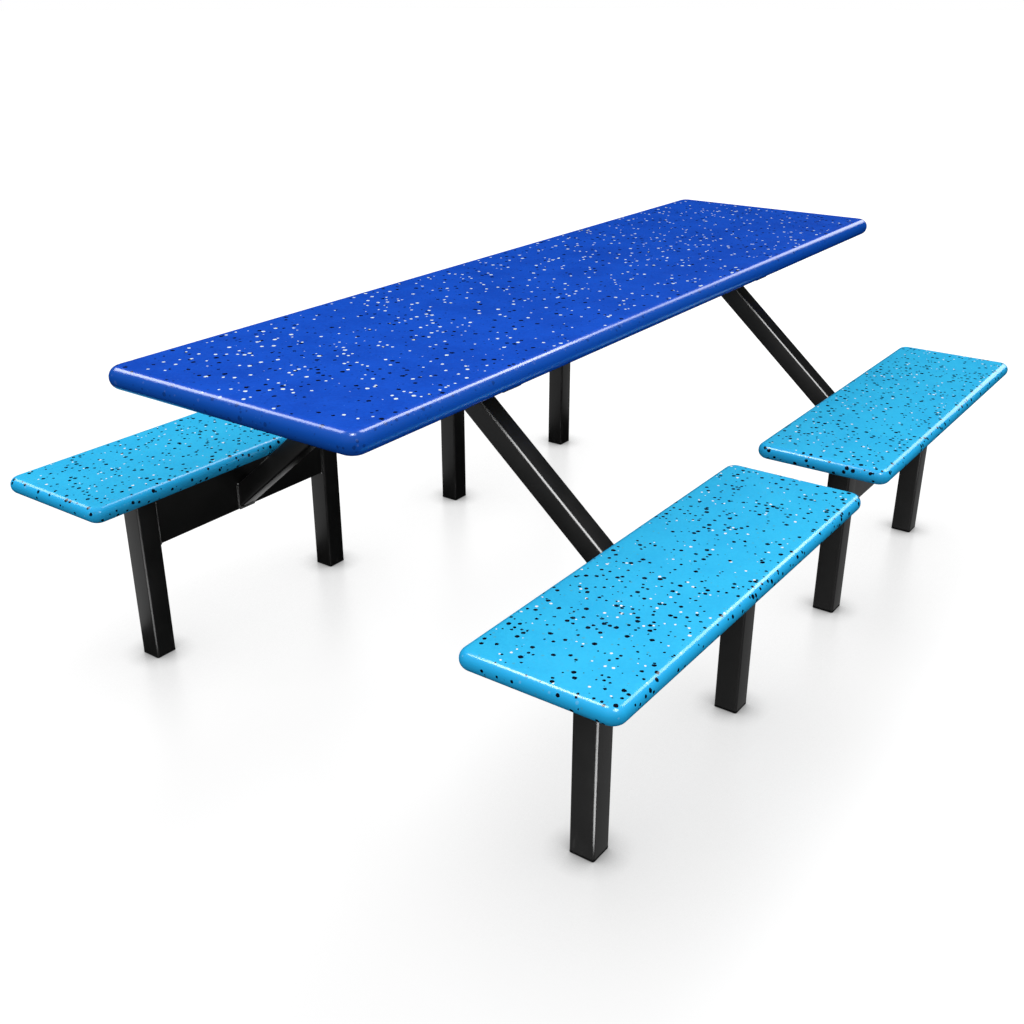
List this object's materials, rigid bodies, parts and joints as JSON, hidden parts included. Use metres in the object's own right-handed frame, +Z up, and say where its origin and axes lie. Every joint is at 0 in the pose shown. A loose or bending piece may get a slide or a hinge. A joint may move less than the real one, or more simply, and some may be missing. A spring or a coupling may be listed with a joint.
{
  "type": "canteen table with benches",
  "caption": "Canteen table with speckled moulded top and separate two-person benches, all carried by one welded frame of black square steel tube.",
  "frame": {"origin": "on the floor under the middle of the table", "axes": "+X along the table to its right end, +Y across it to the back row of benches, +Z up"},
  "size_m": [2.05, 1.43, 0.76],
  "materials": {
    "table_gelcoat": "glossy deep blue with white and black specks",
    "seat_gelcoat": "glossy sky blue with black and white specks",
    "core_board": "raw pressed board",
    "frame_black": "semi-gloss black powder coat",
    "plug_plastic": "matt black moulded plastic",
    "screw_steel": "zinc plated"
  },
  "bodies": {
    "root": {"table_top_skin": "table_gelcoat", "table_top_core": "core_board", "spine_beam": "frame_black", "spine_plug_left": "plug_plastic", "spine_plug_right": "plug_plastic", "front_left_seat_skin": "seat_gelcoat", "front_left_seat_core": "core_board", "front_left_rail": "frame_black", "front_left_strut": "frame_black", "front_left_arm": "frame_black", "front_left_arm_plug": "plug_plastic", "front_left_outer_leg": "frame_black", "front_left_outer_foot": "plug_plastic", "front_left_outer_plate": "frame_black", "front_left_inner_leg": "frame_black", "front_left_inner_foot": "plug_plastic", "front_left_inner_plate": "frame_black", "front_right_seat_skin": "seat_gelcoat", "front_right_seat_core": "core_board", "front_right_rail": "frame_black", "front_right_strut": "frame_black", "front_right_arm": "frame_black", "front_right_arm_plug": "plug_plastic", "front_right_outer_leg": "frame_black", "front_right_outer_foot": "plug_plastic", "front_right_outer_plate": "frame_black", "front_right_inner_leg": "frame_black", "front_right_inner_foot": "plug_plastic", "front_right_inner_plate": "frame_black", "back_left_seat_skin": "seat_gelcoat", "back_left_seat_core": "core_board", "back_left_rail": "frame_black", "back_left_strut": "frame_black", "back_left_arm": "frame_black", "back_left_arm_plug": "plug_plastic", "back_left_outer_leg": "frame_black", "back_left_outer_foot": "plug_plastic", "back_left_outer_plate": "frame_black", "back_left_inner_leg": "frame_black", "back_left_inner_foot": "plug_plastic", "back_left_inner_plate": "frame_black", "back_right_seat_skin": "seat_gelcoat", "back_right_seat_core": "core_board", "back_right_rail": "frame_black", "back_right_strut": "frame_black", "back_right_arm": "frame_black", "back_right_arm_plug": "plug_plastic", "back_right_outer_leg": "frame_black", "back_right_outer_foot": "plug_plastic", "back_right_outer_plate": "frame_black", "back_right_inner_leg": "frame_black", "back_right_inner_foot": "plug_plastic", "back_right_inner_plate": "frame_black"}
  },
  "joints": []
}
